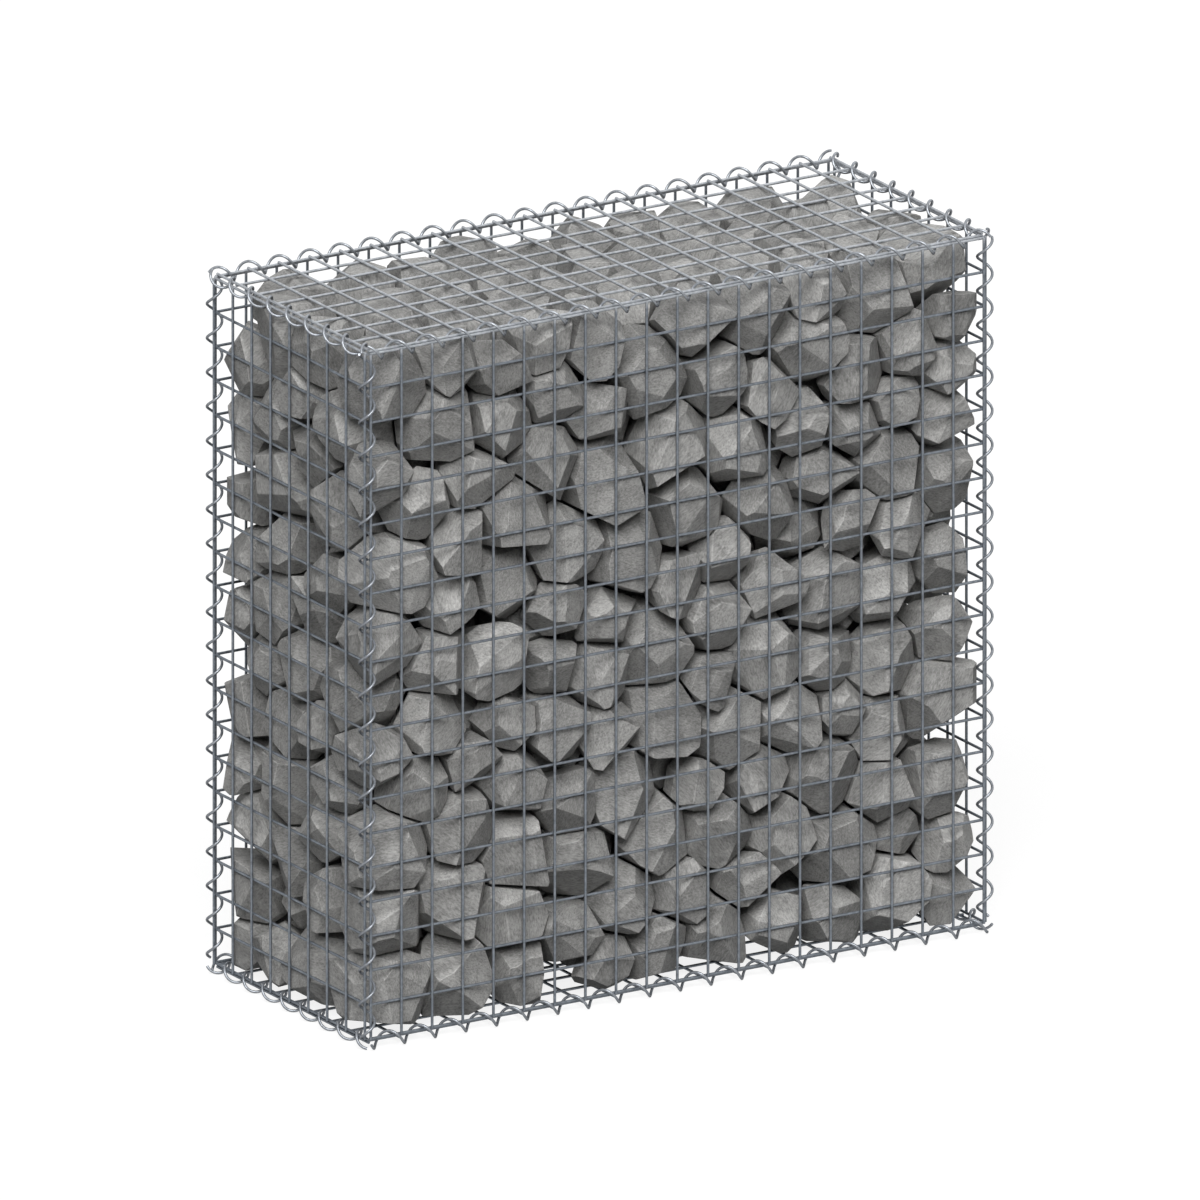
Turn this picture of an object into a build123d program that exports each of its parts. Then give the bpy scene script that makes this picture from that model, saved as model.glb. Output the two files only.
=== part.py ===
from build123d import *
import os
from math import cos, hypot, pi, sin

# Gabion basket: six panels of welded wire mesh, laced along their twelve shared edges with spirals
# of wire, and filled with broken stone. X runs along the wall, Y through it, Z up. Millimetres.

# Basket, counted in cells of the mesh
cell = 50.0
cells_long = 20
cells_deep = 8
cells_high = 20

# Mesh wire: the outer layer of each panel is sunk a little into the inner layer at every weld
wire = 4.0
wire_sides = 8
set_down_share = 0.25
edge_inset = 6.0
seat = 0.3

# Spiral joiners, one turn to each cell
spiral_outer = 25.0
spiral_wire = 4.0
spiral_sides = 6
spiral_facets = 10
spiral_pass_shares = {"left": 0.72, "right": 0.4, "level": 0.5}
spiral_short_share = 0.1
spiral_over_share = 0.1

# Stone fill, tipped in level lifts
lifts = ("lower", "middle", "upper")
fill_back = 8.0
fill_top_gap = 6.0
fill_chamfer = 26.0

# Derived sizes
half_long = cells_long * cell / 2
half_deep = cells_deep * cell / 2
high = cells_high * cell
layer = wire * (1 - set_down_share)
half_turn = 180 / wire_sides
spiral_radius = (spiral_outer - spiral_wire) / 2
spiral_clear = spiral_radius * cos(pi / spiral_facets) - spiral_wire / 2 / cos(pi / spiral_sides)
axis_out = edge_inset / 2
base_level = spiral_outer / 2 + axis_out
top_level = base_level + high
mid_level = base_level + high / 2
flush = wire / 2
short = edge_inset - layer - wire / 2 - seat


def welded_panel(across, along):
    """Flat mesh panel, outer wires on the XY plane along Y, inner wires welded under them along X."""
    wide = across * cell
    tall = along * cell
    with BuildPart() as panel:
        with BuildSketch(Plane.XZ.offset(-tall / 2 - flush)):
            with GridLocations(cell, cell, across + 1, 1):
                RegularPolygon(wire / 2, wire_sides, major_radius=False, rotation=half_turn)
        extrude(amount=tall + 2 * flush, clean=False)
        with BuildSketch(Plane.YZ.offset(-wide / 2 - short)):
            with Locations((0, -layer)):
                with GridLocations(cell, cell, along + 1, 1):
                    RegularPolygon(wire / 2, wire_sides, major_radius=False, rotation=half_turn)
        extrude(amount=wide + 2 * short, clean=False)
    return panel


def wound_spiral(first, last, pass_share):
    """Spiral up the Z axis from one cell count to another, with the X axis pointing into the basket.

    It passes the inside of the edge at the given share of each cell.
    """
    steps = round((last - first) * spiral_facets)
    course_points = []
    for step in range(steps + 1):
        climbed = first + step / spiral_facets
        turn = 2 * pi * (climbed - pass_share)
        course_points.append((spiral_radius * cos(turn), spiral_radius * sin(turn), cell * climbed))
    with BuildPart() as spiral:
        with BuildLine() as course:
            Polyline(*course_points)
        with BuildSketch(Plane(course.wire() @ 0, z_dir=course.wire() % 0)):
            RegularPolygon(spiral_wire / 2, spiral_sides, major_radius=False)
        sweep(transition=Transition.RIGHT, clean=False)
    return spiral


def seated(edge_wire):
    """Shift that brings the inside of a spiral up to one of the two edge wires it laces."""
    away = hypot(*edge_wire)
    slack = spiral_clear - wire / 2 - seat - away
    return [-part * slack / away for part in edge_wire]


os.makedirs("parts", exist_ok=True)

# Mesh panels: upright wires outside on the four walls, short wires outside on the lid and the base
wall_mesh = welded_panel(cells_long, cells_high)
end_mesh = welded_panel(cells_deep, cells_high)
cover_mesh = welded_panel(cells_long, cells_deep)

panels = {
    "front_panel": (wall_mesh, (0, -half_deep - edge_inset, mid_level), (1, 0, 0), (0, -1, 0)),
    "back_panel": (wall_mesh, (0, half_deep + edge_inset, mid_level), (-1, 0, 0), (0, 1, 0)),
    "left_panel": (end_mesh, (-half_long - edge_inset, 0, mid_level), (0, -1, 0), (-1, 0, 0)),
    "right_panel": (end_mesh, (half_long + edge_inset, 0, mid_level), (0, 1, 0), (1, 0, 0)),
    "lid_panel": (cover_mesh, (0, 0, top_level + edge_inset), (1, 0, 0), (0, 0, 1)),
    "base_panel": (cover_mesh, (0, 0, base_level - edge_inset), (-1, 0, 0), (0, 0, -1)),
}
for name, (mesh, middle, across_dir, outward) in panels.items():
    with BuildPart() as panel:
        with Locations(Plane(middle, x_dir=across_dir, z_dir=outward)):
            add(mesh.part, clean=False)
    panel.part.label = name
    export_step(panel.part, f"parts/{name}.step", write_pcurves=False)

# Spirals: each edge gives its first corner, its run, the way into the basket and the spiral wound on
# it. Level spirals run a little past both corners. Upright ones start a little above the base corner.
ends = {"left": -1, "right": 1}
faces = {"front": -1, "back": 1}
levels = {"base": -1, "top": 1}
level_share = spiral_pass_shares["level"]
long_spiral = wound_spiral(-spiral_over_share, cells_long + spiral_over_share, level_share)
deep_spiral = wound_spiral(-spiral_over_share, cells_deep + spiral_over_share, level_share)
tall_spirals = {}
for end in ends:
    tall_spirals[end] = wound_spiral(spiral_short_share, cells_high, spiral_pass_shares[end])
upright_shift = seated((-axis_out, axis_out))
long_shift = seated((-axis_out, 0))
short_shift = seated((-axis_out, axis_out))
edges = {}
for face, y_side in faces.items():
    for end, x_side in ends.items():
        x = x_side * (half_long + axis_out + upright_shift[0])
        y = y_side * (half_deep + axis_out + upright_shift[1])
        inward = (-x_side, -y_side, 0)
        edges[f"spiral_{face}_{end}"] = (tall_spirals[end], (x, y, base_level), (0, 0, 1), inward)
    for level, z_side in levels.items():
        y = y_side * (half_deep + axis_out + long_shift[0])
        z = mid_level + z_side * (high / 2 + axis_out + long_shift[1])
        inward = (0, -y_side, -z_side)
        edges[f"spiral_{face}_{level}"] = (long_spiral, (-half_long, y, z), (1, 0, 0), inward)
for end, x_side in ends.items():
    for level, z_side in levels.items():
        x = x_side * (half_long + axis_out + short_shift[0])
        z = mid_level + z_side * (high / 2 + axis_out + short_shift[1])
        inward = (-x_side, 0, -z_side)
        edges[f"spiral_{end}_{level}"] = (deep_spiral, (x, -half_deep, z), (0, 1, 0), inward)

for name, (wound, corner, run, inward) in edges.items():
    with BuildPart() as spiral:
        with Locations(Plane(corner, x_dir=inward, z_dir=run)):
            add(wound.part, clean=False)
    spiral.part.label = name
    export_step(spiral.part, f"parts/{name}.step", write_pcurves=False)

# Stone fill: it lies on the base, stands back from the panels and clears the spirals
fill_long = 2 * (half_long - fill_back)
fill_deep = 2 * (half_deep - fill_back)
fill_low = base_level - edge_inset + layer + wire / 2 + seat
fill_high = top_level - fill_top_gap
lift_pitch = (fill_high - fill_low + seat) / len(lifts)
for count, lift in enumerate(lifts):
    with BuildPart() as stone_lift:
        with BuildSketch(Plane.XY.offset(fill_low + count * lift_pitch)):
            Rectangle(fill_long, fill_deep)
        extrude(amount=lift_pitch - seat)
        chamfer(stone_lift.edges().filter_by(Axis.Z), fill_chamfer)
        if count == 0:
            chamfer(stone_lift.faces().sort_by(Axis.Z)[0].edges(), fill_chamfer)
        if count == len(lifts) - 1:
            chamfer(stone_lift.faces().sort_by(Axis.Z)[-1].edges(), fill_chamfer)
    stone_lift.part.label = f"stone_fill_{lift}"
    export_step(stone_lift.part, f"parts/stone_fill_{lift}.step", write_pcurves=False)
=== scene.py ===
import math
from itertools import product
from random import Random

import bmesh
import bpy
import numpy as np
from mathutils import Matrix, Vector


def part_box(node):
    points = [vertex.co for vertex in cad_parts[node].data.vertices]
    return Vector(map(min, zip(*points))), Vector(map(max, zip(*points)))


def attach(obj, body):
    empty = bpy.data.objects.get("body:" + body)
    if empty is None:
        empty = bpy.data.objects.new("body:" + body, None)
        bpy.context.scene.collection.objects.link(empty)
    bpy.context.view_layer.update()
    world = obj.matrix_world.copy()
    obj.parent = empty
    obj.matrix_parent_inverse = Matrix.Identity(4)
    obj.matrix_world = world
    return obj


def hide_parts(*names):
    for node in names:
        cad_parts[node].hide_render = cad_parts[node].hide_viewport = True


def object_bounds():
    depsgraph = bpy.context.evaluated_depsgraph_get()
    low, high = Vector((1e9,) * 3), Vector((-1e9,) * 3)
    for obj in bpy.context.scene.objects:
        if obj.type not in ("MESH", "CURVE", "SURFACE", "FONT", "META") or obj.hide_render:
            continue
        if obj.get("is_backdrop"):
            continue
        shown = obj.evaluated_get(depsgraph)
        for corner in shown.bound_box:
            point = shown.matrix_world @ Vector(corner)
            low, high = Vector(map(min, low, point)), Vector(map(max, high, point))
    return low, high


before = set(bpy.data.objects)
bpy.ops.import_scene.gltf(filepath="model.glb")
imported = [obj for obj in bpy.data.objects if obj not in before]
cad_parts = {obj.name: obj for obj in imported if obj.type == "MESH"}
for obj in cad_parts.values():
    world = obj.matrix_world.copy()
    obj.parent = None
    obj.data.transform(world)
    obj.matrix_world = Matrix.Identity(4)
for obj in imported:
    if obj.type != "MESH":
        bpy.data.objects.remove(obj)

CAD_LOW, CAD_HIGH = (Vector(corner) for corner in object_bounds())
CAD_MIDDLE = (CAD_LOW + CAD_HIGH) / 2
LID_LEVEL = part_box("lid_panel")[0][2]

# Wire mesh and spirals, in metres
CELL = 0.050
WIRE = 0.004
WIRE_SIDES = 14
WIRE_END_SHARE = 0.3
WIRE_SHARP = math.radians(50)
SPIRAL_WIRE = 0.004
SPIRAL_OUTER = 0.025
SPIRAL_SIDES = 10
SPIRAL_SHARP = math.radians(60)
TURN_STEPS = 30
PASS_SHARES = {"left": 0.72, "right": 0.4, "level": 0.5}
SHORT_SHARE = 0.1
OVER_SHARE = 0.1
OBLIQUE = (0.31, 0.57, 0.76)

# Stone fill, in metres
SEED = 2220
STONE_SIZES = (0.074, 0.118)
ROOM_DIGITS = 4
PACKED_SHARE = 0.69
PUSH_ROUNDS = 240
LOOK_ROUNDS = 20
LOOK_SHARE = 0.1
PUSH_SHARE = 0.5
WALL_CLEAR = 0.001
LID_CLEAR = 0.006
EDGE_CLEAR = 0.015
SPIRAL_CLEAR = 0.011
REACH_SHARE = 1.7
FACETS = 13
FACET_JITTER = 0.30
FACET_SHARES = (0.84, 1.02)
LONG_SHARES = (1.06, 1.28)
WIDE_SHARES = (0.96, 1.10)
THIN_SHARES = (0.80, 0.98)
STONE_GAP = 0.004
SHORT_EDGE = 0.008
FACET_ANGLE = math.radians(9)
FLAT_ANGLE = math.radians(0.5)
EDGE_ROUND = 0.0008
ROUND_SHARES = (0.7, 1.4)
ROUND_SEGMENTS = 2
TINY = 1e-12
GRAIN_SPREAD = 5.0
STONE_TONES = (0.82, 1.14)
FACE_TONES = (0.82, 1.14)
# Painted highlight: the rounded edges of each stone are this much lighter than the stone's own tone.
PAINTED_EDGE_HIGHLIGHT = 1.10

# Colours, linear. The glance tints what the wires reflect towards their edges.
MESH_TONES = ((0.143, 0.160, 0.182), (0.248, 0.272, 0.303))
# Painted light: lighter copies of the mesh tones for the wires at the lid, standing in for the fuller
# light from above.
LID_PAINTED_LIGHT_TONES = ((0.33, 0.35, 0.375), (0.54, 0.562, 0.595))
SPIRAL_TONES = ((0.175, 0.188, 0.206), (0.305, 0.322, 0.349))
# Painted light: lighter copies of the spiral tones for the spirals at the lid, standing in for the fuller
# light from above.
TOP_SPIRAL_PAINTED_LIGHT_TONES = ((0.216, 0.230, 0.250), (0.374, 0.394, 0.422))
WIRE_GLANCE = (0.15, 0.15, 0.15, 1)
WHITE = (1, 1, 1, 1)
STONE_DARK = (0.185, 0.183, 0.178)
STONE_LIGHT = (0.51, 0.504, 0.490)

# Zinc of the wires
WIRE_METALLIC = 0.6
MESH_ROUGHNESS = 0.36
SPIRAL_ROUGHNESS = 0.34
DULL_RANGE = 0.08
MESH_SPANGLE = 160.0
SPIRAL_SPANGLE = 220.0
SPANGLE_DETAIL = 5.0
SPANGLE_ROUGHNESS = 0.65
SPANGLE_STOPS = (0.32, 0.68)
# Height below the lid level over which the painted light on the wires fades in.
PAINTED_LIGHT_FADE = CELL / 5
WIRE_GRAIN_SCALE = 2600.0
WIRE_GRAIN_DETAIL = 2.0
WIRE_BUMP = {"strength": 0.12, "distance": 0.0002}

# Grain of the stone
GRAIN_STRETCH = (1.0, 0.28, 0.60)
STREAK = {"scale": 480.0, "detail": 8.0, "roughness": 0.75, "distortion": 0.4}
CLOUD = {"scale": 44.0, "detail": 5.0, "roughness": 0.6}
CHIPS = {"scale": 90.0, "detail": 5.0, "roughness": 0.6}
CLOUD_SHARE = 0.24
STONE_STOPS = (0.38, 0.64)
STONE_ROUGHNESS = 0.85
STONE_SPECULAR = 0.3
CHIP_BUMP = {"strength": 0.12, "distance": 0.0010}
STREAK_BUMP = {"strength": 0.30, "distance": 0.0005}

# Picture: the photo has no perspective
AZIMUTH = -31.6
ELEVATION = 18.0
FRAME_PIXELS = 1200
PIXELS_PER_METRE = 719.8
SHIFT_PIXELS = 0.4
CAMERA_AWAY = 6.0
CAMERA_CLIP = 60.0

# Light and floor
KEY_FROM = (-35.0, 47.0)
KEY_SPREAD = 42.0
KEY_LIGHT = 3.42
RIM_FROM = (130.0, 16.0)
RIM_SPREAD = 80.0
RIM_LIGHT = 1.3
ROOM_LIGHT = 0.065
ROOM_COLOUR = (0.96, 0.98, 1.0, 1)
FLOOR_HALF = 14.0
FLOOR_DARK = (0.20, 0.20, 0.20)
FLOOR_LIGHT = (0.22, 0.22, 0.22)
FLOOR_SPECK = 40.0
FLOOR_SPECK_DETAIL = 2.0
FLOOR_ROUGHNESS = 0.95
FLOOR_LIFT = 0.85


def add_mesh(name, points, faces, material, smooth=True):
    """New mesh object from points in metres."""
    mesh = bpy.data.meshes.new(name)
    mesh.from_pydata([tuple(p) for p in points], [], [tuple(f) for f in faces])
    mesh.validate()
    if smooth:
        mesh.shade_smooth()
    mesh.materials.append(material)
    piece = bpy.data.objects.new(name, mesh)
    bpy.context.collection.objects.link(piece)
    return piece


def tube(course, radius, sides):
    """Points and faces of a round wire along a course, closed at both ends."""
    course = np.asarray(course, float)
    ahead = np.gradient(course, axis=0)
    ahead /= np.linalg.norm(ahead, axis=1)[:, None]
    side = np.cross(ahead[0], OBLIQUE)
    angle = np.arange(sides) * 2 * math.pi / sides
    points = []
    for place, along in zip(course, ahead):
        side = side - along * (side @ along)
        side /= np.linalg.norm(side)
        up = np.cross(along, side)
        points.append(place + radius * (np.cos(angle)[:, None] * side + np.sin(angle)[:, None] * up))
    faces = []
    for ring in range(len(course) - 1):
        for k in range(sides):
            this, following = ring * sides, (ring + 1) * sides
            beside = (k + 1) % sides
            faces.append((this + k, this + beside, following + beside, following + k))
    last = (len(course) - 1) * sides
    faces.append(tuple(range(sides - 1, -1, -1)))
    faces.append(tuple(range(last, last + sides)))
    return np.concatenate(points), faces


def joined(tubes):
    """Several tubes as one set of points and faces."""
    points, faces, start = [], [], 0
    for some_points, some_faces in tubes:
        points.append(some_points)
        faces.extend(tuple(start + k for k in face) for face in some_faces)
        start += len(some_points)
    return np.concatenate(points), faces


# Materials
def new_material(name):
    """New material with its nodes, its links and its shader."""
    material = bpy.data.materials.new(name)
    material.use_nodes = True
    nodes = material.node_tree.nodes
    return material, nodes, material.node_tree.links, nodes["Principled BSDF"]


def noise(nodes, links, where, scale, detail, roughness=0.5, distortion=0.0):
    """Noise texture over a given vector."""
    texture = nodes.new("ShaderNodeTexNoise")
    texture.inputs["Scale"].default_value = scale
    texture.inputs["Detail"].default_value = detail
    texture.inputs["Roughness"].default_value = roughness
    texture.inputs["Distortion"].default_value = distortion
    links.new(where, texture.inputs["Vector"])
    return texture.outputs["Fac"]


def ramp(nodes, links, value, *stops):
    """Colours at given positions along a value."""
    colours = nodes.new("ShaderNodeValToRGB")
    for element, (position, colour) in zip(colours.color_ramp.elements, stops):
        element.position = position
        element.color = (*colour, 1)
    links.new(value, colours.inputs["Fac"])
    return colours.outputs["Color"]


def times(nodes, links, one, two):
    """Two colours multiplied."""
    multiplied = nodes.new("ShaderNodeMix")
    multiplied.data_type = "RGBA"
    multiplied.blend_type = "MULTIPLY"
    multiplied.inputs["Factor"].default_value = 1.0
    links.new(one, multiplied.inputs["A"])
    links.new(two, multiplied.inputs["B"])
    return multiplied.outputs["Result"]


def bump(nodes, links, height, strength, distance, before=None):
    """Bump from a height, laid over another bump."""
    raised = nodes.new("ShaderNodeBump")
    raised.inputs["Strength"].default_value = strength
    raised.inputs["Distance"].default_value = distance
    links.new(height, raised.inputs["Height"])
    if before:
        links.new(before, raised.inputs["Normal"])
    return raised.outputs["Normal"]


def wire_material(name, tones, painted_light_top_tones, roughness, spangle_scale):
    """Galvanised wire: zinc with a faint spangle and dull patches, painted lighter at and just below the
    lid level as painted light from above.
    """
    material, nodes, links, shader = new_material(name)
    place = nodes.new("ShaderNodeTexCoord").outputs["Object"]
    patches = noise(nodes, links, place, spangle_scale, SPANGLE_DETAIL, SPANGLE_ROUGHNESS)
    # Painted light: wires at the lid level take the lighter top tones, fading in over the height just
    # below it.
    height = nodes.new("ShaderNodeSeparateXYZ")
    links.new(place, height.inputs["Vector"])
    painted_light_at_lid = nodes.new("ShaderNodeMapRange")
    painted_light_at_lid.inputs["From Min"].default_value = LID_LEVEL - PAINTED_LIGHT_FADE
    painted_light_at_lid.inputs["From Max"].default_value = LID_LEVEL
    links.new(height.outputs["Z"], painted_light_at_lid.inputs["Value"])
    zinc_and_painted_light = nodes.new("ShaderNodeMix")
    zinc_and_painted_light.data_type = "RGBA"
    links.new(painted_light_at_lid.outputs["Result"], zinc_and_painted_light.inputs["Factor"])
    for side, pair in (("A", tones), ("B", painted_light_top_tones)):
        links.new(ramp(nodes, links, patches, *zip(SPANGLE_STOPS, pair)), zinc_and_painted_light.inputs[side])
    links.new(zinc_and_painted_light.outputs["Result"], shader.inputs["Base Color"])
    shader.inputs["Specular Tint"].default_value = WIRE_GLANCE
    dull = nodes.new("ShaderNodeMapRange")
    dull.inputs["To Min"].default_value = roughness - DULL_RANGE
    dull.inputs["To Max"].default_value = roughness + DULL_RANGE
    links.new(patches, dull.inputs["Value"])
    links.new(dull.outputs["Result"], shader.inputs["Roughness"])
    shader.inputs["Metallic"].default_value = WIRE_METALLIC
    grain = noise(nodes, links, place, WIRE_GRAIN_SCALE, WIRE_GRAIN_DETAIL)
    links.new(bump(nodes, links, grain, **WIRE_BUMP), shader.inputs["Normal"])
    return material


def stone_material():
    """Broken grey stone: a tone of its own to each stone and face, a painted highlight on the rounded
    edges, and a fine streaked grain.
    """
    material, nodes, links, shader = new_material("broken_stone")
    local = nodes.new("ShaderNodeAttribute")
    local.attribute_name = "grain"
    tone = nodes.new("ShaderNodeAttribute")
    tone.attribute_name = "tone"
    stretch = nodes.new("ShaderNodeMapping")
    stretch.inputs["Scale"].default_value = GRAIN_STRETCH
    links.new(local.outputs["Vector"], stretch.inputs["Vector"])
    streak = noise(nodes, links, stretch.outputs["Vector"], **STREAK)
    cloud = noise(nodes, links, local.outputs["Vector"], **CLOUD)
    both = nodes.new("ShaderNodeMix")
    both.data_type = "FLOAT"
    both.inputs["Factor"].default_value = CLOUD_SHARE
    links.new(streak, both.inputs["A"])
    links.new(cloud, both.inputs["B"])
    stops = zip(STONE_STOPS, (STONE_DARK, STONE_LIGHT))
    shades = ramp(nodes, links, both.outputs["Result"], *stops)
    links.new(times(nodes, links, shades, tone.outputs["Color"]), shader.inputs["Base Color"])
    shader.inputs["Roughness"].default_value = STONE_ROUGHNESS
    shader.inputs["Specular IOR Level"].default_value = STONE_SPECULAR
    chips = noise(nodes, links, local.outputs["Vector"], **CHIPS)
    rough = bump(nodes, links, chips, **CHIP_BUMP)
    links.new(bump(nodes, links, streak, **STREAK_BUMP, before=rough), shader.inputs["Normal"])
    return material


mesh_steel = wire_material("galvanised_mesh", MESH_TONES, LID_PAINTED_LIGHT_TONES, MESH_ROUGHNESS, MESH_SPANGLE)
spiral_steel = wire_material(
    "galvanised_spiral", SPIRAL_TONES, TOP_SPIRAL_PAINTED_LIGHT_TONES, SPIRAL_ROUGHNESS, SPIRAL_SPANGLE
)
stone = stone_material()


# Mesh panels
def panel_wires(node, across, along, through):
    """Round wires of one panel. Outer wires run along one axis and inner wires across it."""
    low, high = (np.array(corner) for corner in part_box(node))
    outside = 1 if (low[through] + high[through]) / 2 > CAD_MIDDLE[through] else -1
    outer = (high if outside > 0 else low)[through] - outside * WIRE / 2
    inner = (low if outside > 0 else high)[through] + outside * WIRE / 2
    tubes = []
    for run, step, layer in ((along, across, outer), (across, along, inner)):
        first = low[step] + WIRE / 2
        final = high[step] - WIRE / 2
        for place in np.linspace(first, final, round((final - first) / CELL) + 1):
            ends = np.zeros((2, 3))
            ends[:, step] = place
            ends[:, through] = layer
            ends[:, run] = low[run] + WIRE * WIRE_END_SHARE, high[run] - WIRE * WIRE_END_SHARE
            tubes.append(tube(ends, WIRE / 2, WIRE_SIDES))
    return joined(tubes)


for node, across, along, through in (
    ("front_panel", 0, 2, 1),
    ("back_panel", 0, 2, 1),
    ("left_panel", 1, 2, 0),
    ("right_panel", 1, 2, 0),
    ("lid_panel", 0, 1, 2),
    ("base_panel", 0, 1, 2),
):
    points, faces = panel_wires(node, across, along, through)
    piece = add_mesh(node + "_wires", points, faces, mesh_steel)
    piece.data.set_sharp_from_angle(angle=WIRE_SHARP)
    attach(piece, "root")
    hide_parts(node)

# Spirals: the axis that each runs along and the way into the basket
SPIRALS = {
    "spiral_front_left": (2, (1, 1, 0)),
    "spiral_front_right": (2, (-1, 1, 0)),
    "spiral_back_left": (2, (1, -1, 0)),
    "spiral_back_right": (2, (-1, -1, 0)),
    "spiral_front_base": (0, (0, 1, 1)),
    "spiral_front_top": (0, (0, 1, -1)),
    "spiral_back_base": (0, (0, -1, 1)),
    "spiral_back_top": (0, (0, -1, -1)),
    "spiral_left_base": (1, (1, 0, 1)),
    "spiral_left_top": (1, (1, 0, -1)),
    "spiral_right_base": (1, (-1, 0, 1)),
    "spiral_right_top": (1, (-1, 0, -1)),
}
front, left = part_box("front_panel"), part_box("left_panel")
first_wires = np.array([front[0][0], left[0][1], front[0][2]]) + WIRE / 2
last_wires = np.array([front[1][0], left[1][1], front[1][2]]) - WIRE / 2
for node, (run, inward) in SPIRALS.items():
    axis = np.eye(3)[run]
    inward = np.array(inward) / math.sqrt(2)
    sideways = np.cross(axis, inward)
    middle = sum(np.array(corner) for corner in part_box(node)) / 2
    cells = round((last_wires[run] - first_wires[run]) / CELL)
    first, last = (SHORT_SHARE, cells) if run == 2 else (-OVER_SHARE, cells + OVER_SHARE)
    share = PASS_SHARES[node.split("_")[2] if run == 2 else "level"]
    radius = (SPIRAL_OUTER - SPIRAL_WIRE) / 2
    course = []
    for climbed in np.linspace(first, last, round((last - first) * TURN_STEPS) + 1):
        turn = 2 * math.pi * (climbed - share)
        place = middle + radius * (math.cos(turn) * inward + math.sin(turn) * sideways)
        place[run] = first_wires[run] + climbed * CELL
        course.append(place)
    points, faces = tube(course, SPIRAL_WIRE / 2, SPIRAL_SIDES)
    piece = add_mesh(node + "_coil", points, faces, spiral_steel)
    piece.data.set_sharp_from_angle(angle=SPIRAL_SHARP)
    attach(piece, "root")
    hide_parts(node)


# Stones
def near_pairs(balls):
    """Pairs of balls that touch or nearly touch, each with the distance at which they would touch."""
    pairs = []
    for index, (one, one_radius) in enumerate(balls):
        for two, two_radius in balls[:index]:
            reach = one_radius + two_radius
            if max(abs(a - b) for a, b in zip(one, two)) < reach * (1 + LOOK_SHARE):
                pairs.append((one, two, reach))
    return pairs


def push_apart(one, two, reach):
    """Moves two centres away from each other, part of the way to touching."""
    away = math.dist(one, two)
    if away < reach:
        push = PUSH_SHARE * (reach - away) / away / 2
        for k in range(3):
            step = push * (one[k] - two[k])
            one[k] += step
            two[k] -= step


def keep_inside(centre, radius, low, high):
    """Moves a centre in from the walls of the box, and further in from its edges."""
    for k in range(3):
        centre[k] = min(max(centre[k], low[k] + radius), high[k] - radius)
    for pair in ((0, 1), (0, 2), (1, 2)):
        clear = sum(min(centre[k] - low[k], high[k] - centre[k]) for k in pair)
        lack = (EDGE_CLEAR + radius) * math.sqrt(2) - clear
        if lack > 0:
            for k in pair:
                centre[k] += lack / 2 if centre[k] - low[k] < high[k] - centre[k] else -lack / 2


def heaped_balls(low, high):
    """Balls that fill a box, as centres and radii, pushed apart until they hardly overlap."""
    dice = Random(SEED)
    small, large = STONE_SIZES
    room = PACKED_SHARE * math.prod(top - bottom for bottom, top in zip(low, high))
    balls = []
    while room > 0:
        radius = (small + (large - small) * dice.random()) / 2
        centre = []
        for bottom, top in zip(low, high):
            centre.append(bottom + radius + dice.random() * (top - bottom - 2 * radius))
        balls.append((centre, radius))
        room -= 4 / 3 * math.pi * radius**3
    for turn in range(PUSH_ROUNDS):
        if turn % LOOK_ROUNDS == 0:
            pairs = near_pairs(balls)
        for one, two, reach in pairs:
            push_apart(one, two, reach)
        for centre, radius in balls:
            keep_inside(centre, radius, low, high)
    return balls


def cut_solid(loops, normal, offset):
    """Cuts a convex solid, held as loops of points, with a plane and closes the cut."""
    kept, rim = [], []
    for loop in loops:
        side = loop @ normal - offset
        if side.max() <= 0:
            kept.append(loop)
            continue
        if side.min() > 0:
            continue
        left = []
        for k in range(len(loop)):
            if (side[k - 1] <= 0) != (side[k] <= 0):
                share = side[k - 1] / (side[k - 1] - side[k])
                left.append(loop[k - 1] + (loop[k] - loop[k - 1]) * share)
                rim.append(left[-1])
            if side[k] <= 0:
                left.append(loop[k])
        kept.append(np.array(left))
    if len(rim) >= 3:
        rim = np.array(rim)
        middle = rim.mean(axis=0)
        first = rim[0] - middle
        first /= np.linalg.norm(first) + TINY
        second = np.cross(normal, first)
        spread = rim - middle
        order = np.argsort(np.arctan2(spread @ second, spread @ first))
        kept.append(rim[order])
    return kept


def turned(rng):
    """Random rotation."""
    q = rng.normal(size=4)
    w, x, y, z = q / np.linalg.norm(q)
    return np.array([
        [1 - 2 * (y * y + z * z), 2 * (x * y - z * w), 2 * (x * z + y * w)],
        [2 * (x * y + z * w), 1 - 2 * (x * x + z * z), 2 * (y * z - x * w)],
        [2 * (x * z - y * w), 2 * (y * z + x * w), 1 - 2 * (x * x + y * y)],
    ])


def spread_normals(rng, count):
    """Directions spread over a ball, each a little off its even place."""
    k = np.arange(count) + 0.5
    tilt = np.arccos(1 - 2 * k / count)
    spin = math.pi * (1 + math.sqrt(5)) * k
    out = np.stack([np.cos(spin) * np.sin(tilt), np.sin(spin) * np.sin(tilt), np.cos(tilt)], axis=1)
    out += rng.normal(scale=FACET_JITTER, size=out.shape)
    return out / np.linalg.norm(out, axis=1)[:, None]


CUBE = np.array([[x, y, z] for x in (-1, 1) for y in (-1, 1) for z in (-1, 1)], float)
CUBE_LOOPS = ((0, 1, 3, 2), (4, 6, 7, 5), (0, 4, 5, 1), (2, 3, 7, 6), (0, 2, 6, 4), (1, 5, 7, 3))


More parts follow.
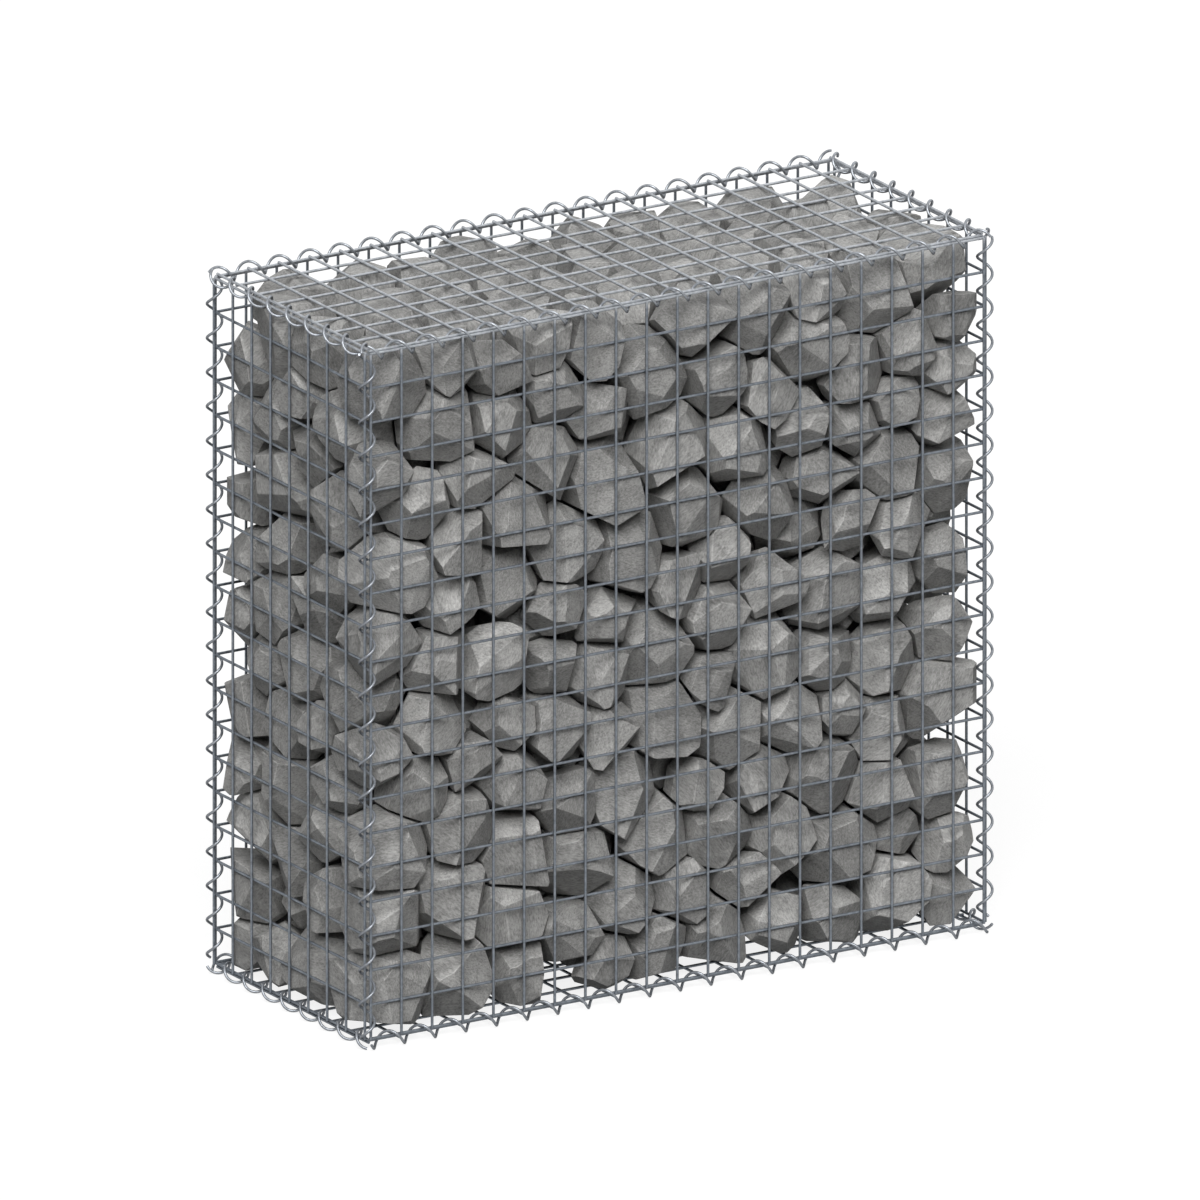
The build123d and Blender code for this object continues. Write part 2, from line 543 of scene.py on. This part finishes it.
def convex_mesh(points, flat_angle):
    """Convex hull of some points as a bmesh, with faces that meet at less than an angle made one."""
    solid = bmesh.new()
    for point in points:
        solid.verts.new(point)
    bmesh.ops.convex_hull(solid, input=solid.verts)
    bmesh.ops.delete(solid, geom=[vert for vert in solid.verts if not vert.link_faces], context="VERTS")
    bmesh.ops.dissolve_limit(solid, angle_limit=flat_angle, verts=solid.verts, edges=solid.edges)
    bmesh.ops.recalc_face_normals(solid, faces=solid.faces)
    return solid


def broken_stone(index, centres, radii, low, high):
    """One faceted stone, clear of its neighbours and of the basket: a bmesh, its grain and its tones,
    with a painted highlight on the rounded edges.
    """
    rng = np.random.default_rng((SEED, index))
    centre, radius = centres[index], radii[index]
    loops = [CUBE[list(loop)] * radius * REACH_SHARE for loop in CUBE_LOOPS]
    turn = turned(rng)
    axes = radius * np.array([rng.uniform(*shares) for shares in (LONG_SHARES, WIDE_SHARES, THIN_SHARES)])
    for normal in spread_normals(rng, FACETS) @ turn.T:
        reach = np.linalg.norm(axes * (normal @ turn)) * rng.uniform(*FACET_SHARES)
        loops = cut_solid(loops, normal, reach)
    apart = centres - centre
    away = np.linalg.norm(apart, axis=1)
    for other in np.argsort(away)[1:]:
        if away[other] > radius * REACH_SHARE + radii[other] * REACH_SHARE:
            break
        normal = apart[other] / away[other]
        middle = (away[other] ** 2 + radius**2 - radii[other] ** 2) / (2 * away[other])
        loops = cut_solid(loops, normal, middle - STONE_GAP / 2)
    for sides in product((-1, 0, 1), repeat=3):
        count = np.count_nonzero(sides)
        if count in (1, 2):
            normal = np.array(sides) / math.sqrt(count)
            corner = np.where(normal > 0, high, low) - centre
            loops = cut_solid(loops, normal, normal @ corner - SPIRAL_CLEAR * (count - 1))
    corners = []
    for corner in np.concatenate(loops):
        for group in corners:
            if np.linalg.norm(group[0] - corner) < SHORT_EDGE:
                group.append(corner)
                break
        else:
            corners.append([corner])
    sharp = convex_mesh([np.mean(group, axis=0) for group in corners], FACET_ANGLE)
    facets = np.array([face.normal for face in sharp.faces])
    bmesh.ops.bevel(
        sharp, geom=list(sharp.edges), offset=EDGE_ROUND * rng.uniform(*ROUND_SHARES),
        offset_type="OFFSET", segments=ROUND_SEGMENTS, profile=0.5, affect="EDGES", clamp_overlap=True,
    )
    solid = convex_mesh([vert.co for vert in sharp.verts], FLAT_ANGLE)
    sharp.free()
    local = np.array([vert.co for vert in solid.verts])
    grain = local @ turn + rng.uniform(-GRAIN_SPREAD, GRAIN_SPREAD, 3)
    own = rng.uniform(*STONE_TONES)
    facet_tones = own * rng.uniform(*FACE_TONES, len(facets))
    tones = []
    for face in solid.faces:
        likeness = facets @ face.normal
        on_facet = likeness.max() > math.cos(FACET_ANGLE)
        # Faces off the facets are the rounded edges, which take the painted highlight.
        tones.append(facet_tones[likeness.argmax()] if on_facet else own * PAINTED_EDGE_HIGHLIGHT)
    return solid, grain, tones


# The room inside the panels is rounded, so that the heap doesn't hang on the frame's last digits
low_sides = ("left_panel", "front_panel", "base_panel")
high_sides = ("right_panel", "back_panel", "lid_panel")
inside_low = [round(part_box(node)[1][axis], ROOM_DIGITS) for axis, node in enumerate(low_sides)]
inside_high = [round(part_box(node)[0][axis], ROOM_DIGITS) for axis, node in enumerate(high_sides)]
ball_low = [inside_low[0] + WALL_CLEAR, inside_low[1] + WALL_CLEAR, inside_low[2]]
ball_high = [inside_high[0] - WALL_CLEAR, inside_high[1] - WALL_CLEAR, inside_high[2] - LID_CLEAR]
balls = heaped_balls(ball_low, ball_high)
centres = np.array([centre for centre, radius in balls])
radii = np.array([radius for centre, radius in balls])
lifts = ("lower", "middle", "upper")
lift_tops = [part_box(f"stone_fill_{lift}")[1][2] for lift in lifts]
levels = [-math.inf, *lift_tops[:-1], math.inf]
for lift, below, above in zip(lifts, levels, levels[1:]):
    chosen = [k for k in range(len(radii)) if below <= centres[k][2] < above]
    points, faces, grain, tones, start = [], [], [], [], 0
    for k in chosen:
        solid, stone_grain, stone_tones = broken_stone(k, centres, radii, inside_low, inside_high)
        solid.verts.index_update()
        points.append([centres[k] + vert.co for vert in solid.verts])
        grain.append(stone_grain)
        tones.extend(stone_tones)
        faces.extend(tuple(start + vert.index for vert in face.verts) for face in solid.faces)
        start += len(stone_grain)
        solid.free()
    piece = add_mesh(f"stones_{lift}", np.concatenate(points), faces, stone, smooth=False)
    mesh = piece.data
    grain_layer = mesh.attributes.new("grain", "FLOAT_VECTOR", "POINT")
    grain_layer.data.foreach_set("vector", np.concatenate(grain).ravel())
    tone_layer = mesh.attributes.new("tone", "FLOAT", "FACE")
    tone_layer.data.foreach_set("value", tones)
    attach(piece, "root")
    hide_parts(f"stone_fill_{lift}")
    print(lift, len(chosen), "stones", len(mesh.polygons), "faces")


# Floor, light and camera
def seen_directly(nodes, links):
    """1 for the rays that show a surface to the camera, straight or in metal."""
    path = nodes.new("ShaderNodeLightPath")
    seen = path.outputs["Is Camera Ray"]
    for other in ("Is Glossy Ray", "Is Transmission Ray"):
        either = nodes.new("ShaderNodeMath")
        either.operation = "MAXIMUM"
        links.new(seen, either.inputs[0])
        links.new(path.outputs[other], either.inputs[1])
        seen = either.outputs["Value"]
    return seen


floor_material, nodes, links, shader = new_material("pale_floor")
place = nodes.new("ShaderNodeTexCoord").outputs["Object"]
speck = noise(nodes, links, place, FLOOR_SPECK, FLOOR_SPECK_DETAIL)
links.new(ramp(nodes, links, speck, (0.0, FLOOR_DARK), (1.0, FLOOR_LIGHT)), shader.inputs["Base Color"])
shader.inputs["Roughness"].default_value = FLOOR_ROUGHNESS
shader.inputs["Specular IOR Level"].default_value = 0.0
shader.inputs["Emission Color"].default_value = WHITE
glow = nodes.new("ShaderNodeMath")
glow.operation = "MULTIPLY"
glow.inputs[1].default_value = FLOOR_LIFT
links.new(seen_directly(nodes, links), glow.inputs[0])
links.new(glow.outputs["Value"], shader.inputs["Emission Strength"])
corners = [(-FLOOR_HALF, -FLOOR_HALF, 0), (FLOOR_HALF, -FLOOR_HALF, 0)]
corners += [(FLOOR_HALF, FLOOR_HALF, 0), (-FLOOR_HALF, FLOOR_HALF, 0)]
floor = add_mesh("floor", corners, [(0, 1, 2, 3)], floor_material, smooth=False)
floor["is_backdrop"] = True

world = bpy.data.worlds.new("studio")
bpy.context.scene.world = world
world.use_nodes = True
nodes, links = world.node_tree.nodes, world.node_tree.links
room = nodes["Background"]
room.inputs["Color"].default_value = ROOM_COLOUR
room.inputs["Strength"].default_value = ROOM_LIGHT
white = nodes.new("ShaderNodeBackground")
white.inputs["Color"].default_value = WHITE
white.inputs["Strength"].default_value = 1.0
choose = nodes.new("ShaderNodeMixShader")
links.new(seen_directly(nodes, links), choose.inputs["Fac"])
links.new(room.outputs["Background"], choose.inputs[1])
links.new(white.outputs["Background"], choose.inputs[2])
links.new(choose.outputs["Shader"], nodes["World Output"].inputs["Surface"])


def toward(azimuth, elevation):
    """Direction from the object, with azimuth 0 at its front and turning to its right."""
    turn, tilt = math.radians(azimuth), math.radians(elevation)
    return Vector((math.sin(turn) * math.cos(tilt), -math.cos(turn) * math.cos(tilt), math.sin(tilt)))


def soft_sun(name, azimuth, elevation, spread, strength):
    """Wide, even studio light from one side."""
    light = bpy.data.lights.new(name, "SUN")
    light.angle = math.radians(spread)
    light.energy = strength
    lamp = bpy.data.objects.new(name, light)
    lamp.rotation_euler = (-toward(azimuth, elevation)).to_track_quat("-Z", "Y").to_euler()
    bpy.context.collection.objects.link(lamp)


soft_sun("key", *KEY_FROM, KEY_SPREAD, KEY_LIGHT)
soft_sun("rim", *RIM_FROM, RIM_SPREAD, RIM_LIGHT)

scene = bpy.context.scene
camera_data = bpy.data.cameras.new("camera")
camera_data.type = "ORTHO"
camera_data.ortho_scale = FRAME_PIXELS / PIXELS_PER_METRE
camera_data.shift_x = SHIFT_PIXELS / FRAME_PIXELS
camera_data.clip_end = CAMERA_CLIP
camera = bpy.data.objects.new("camera", camera_data)
bpy.context.collection.objects.link(camera)
scene.camera = camera
back = toward(AZIMUTH, ELEVATION)
camera.location = CAD_MIDDLE + back * CAMERA_AWAY
camera.rotation_euler = (-back).to_track_quat("-Z", "Y").to_euler()
scene.view_settings.view_transform = "Standard"
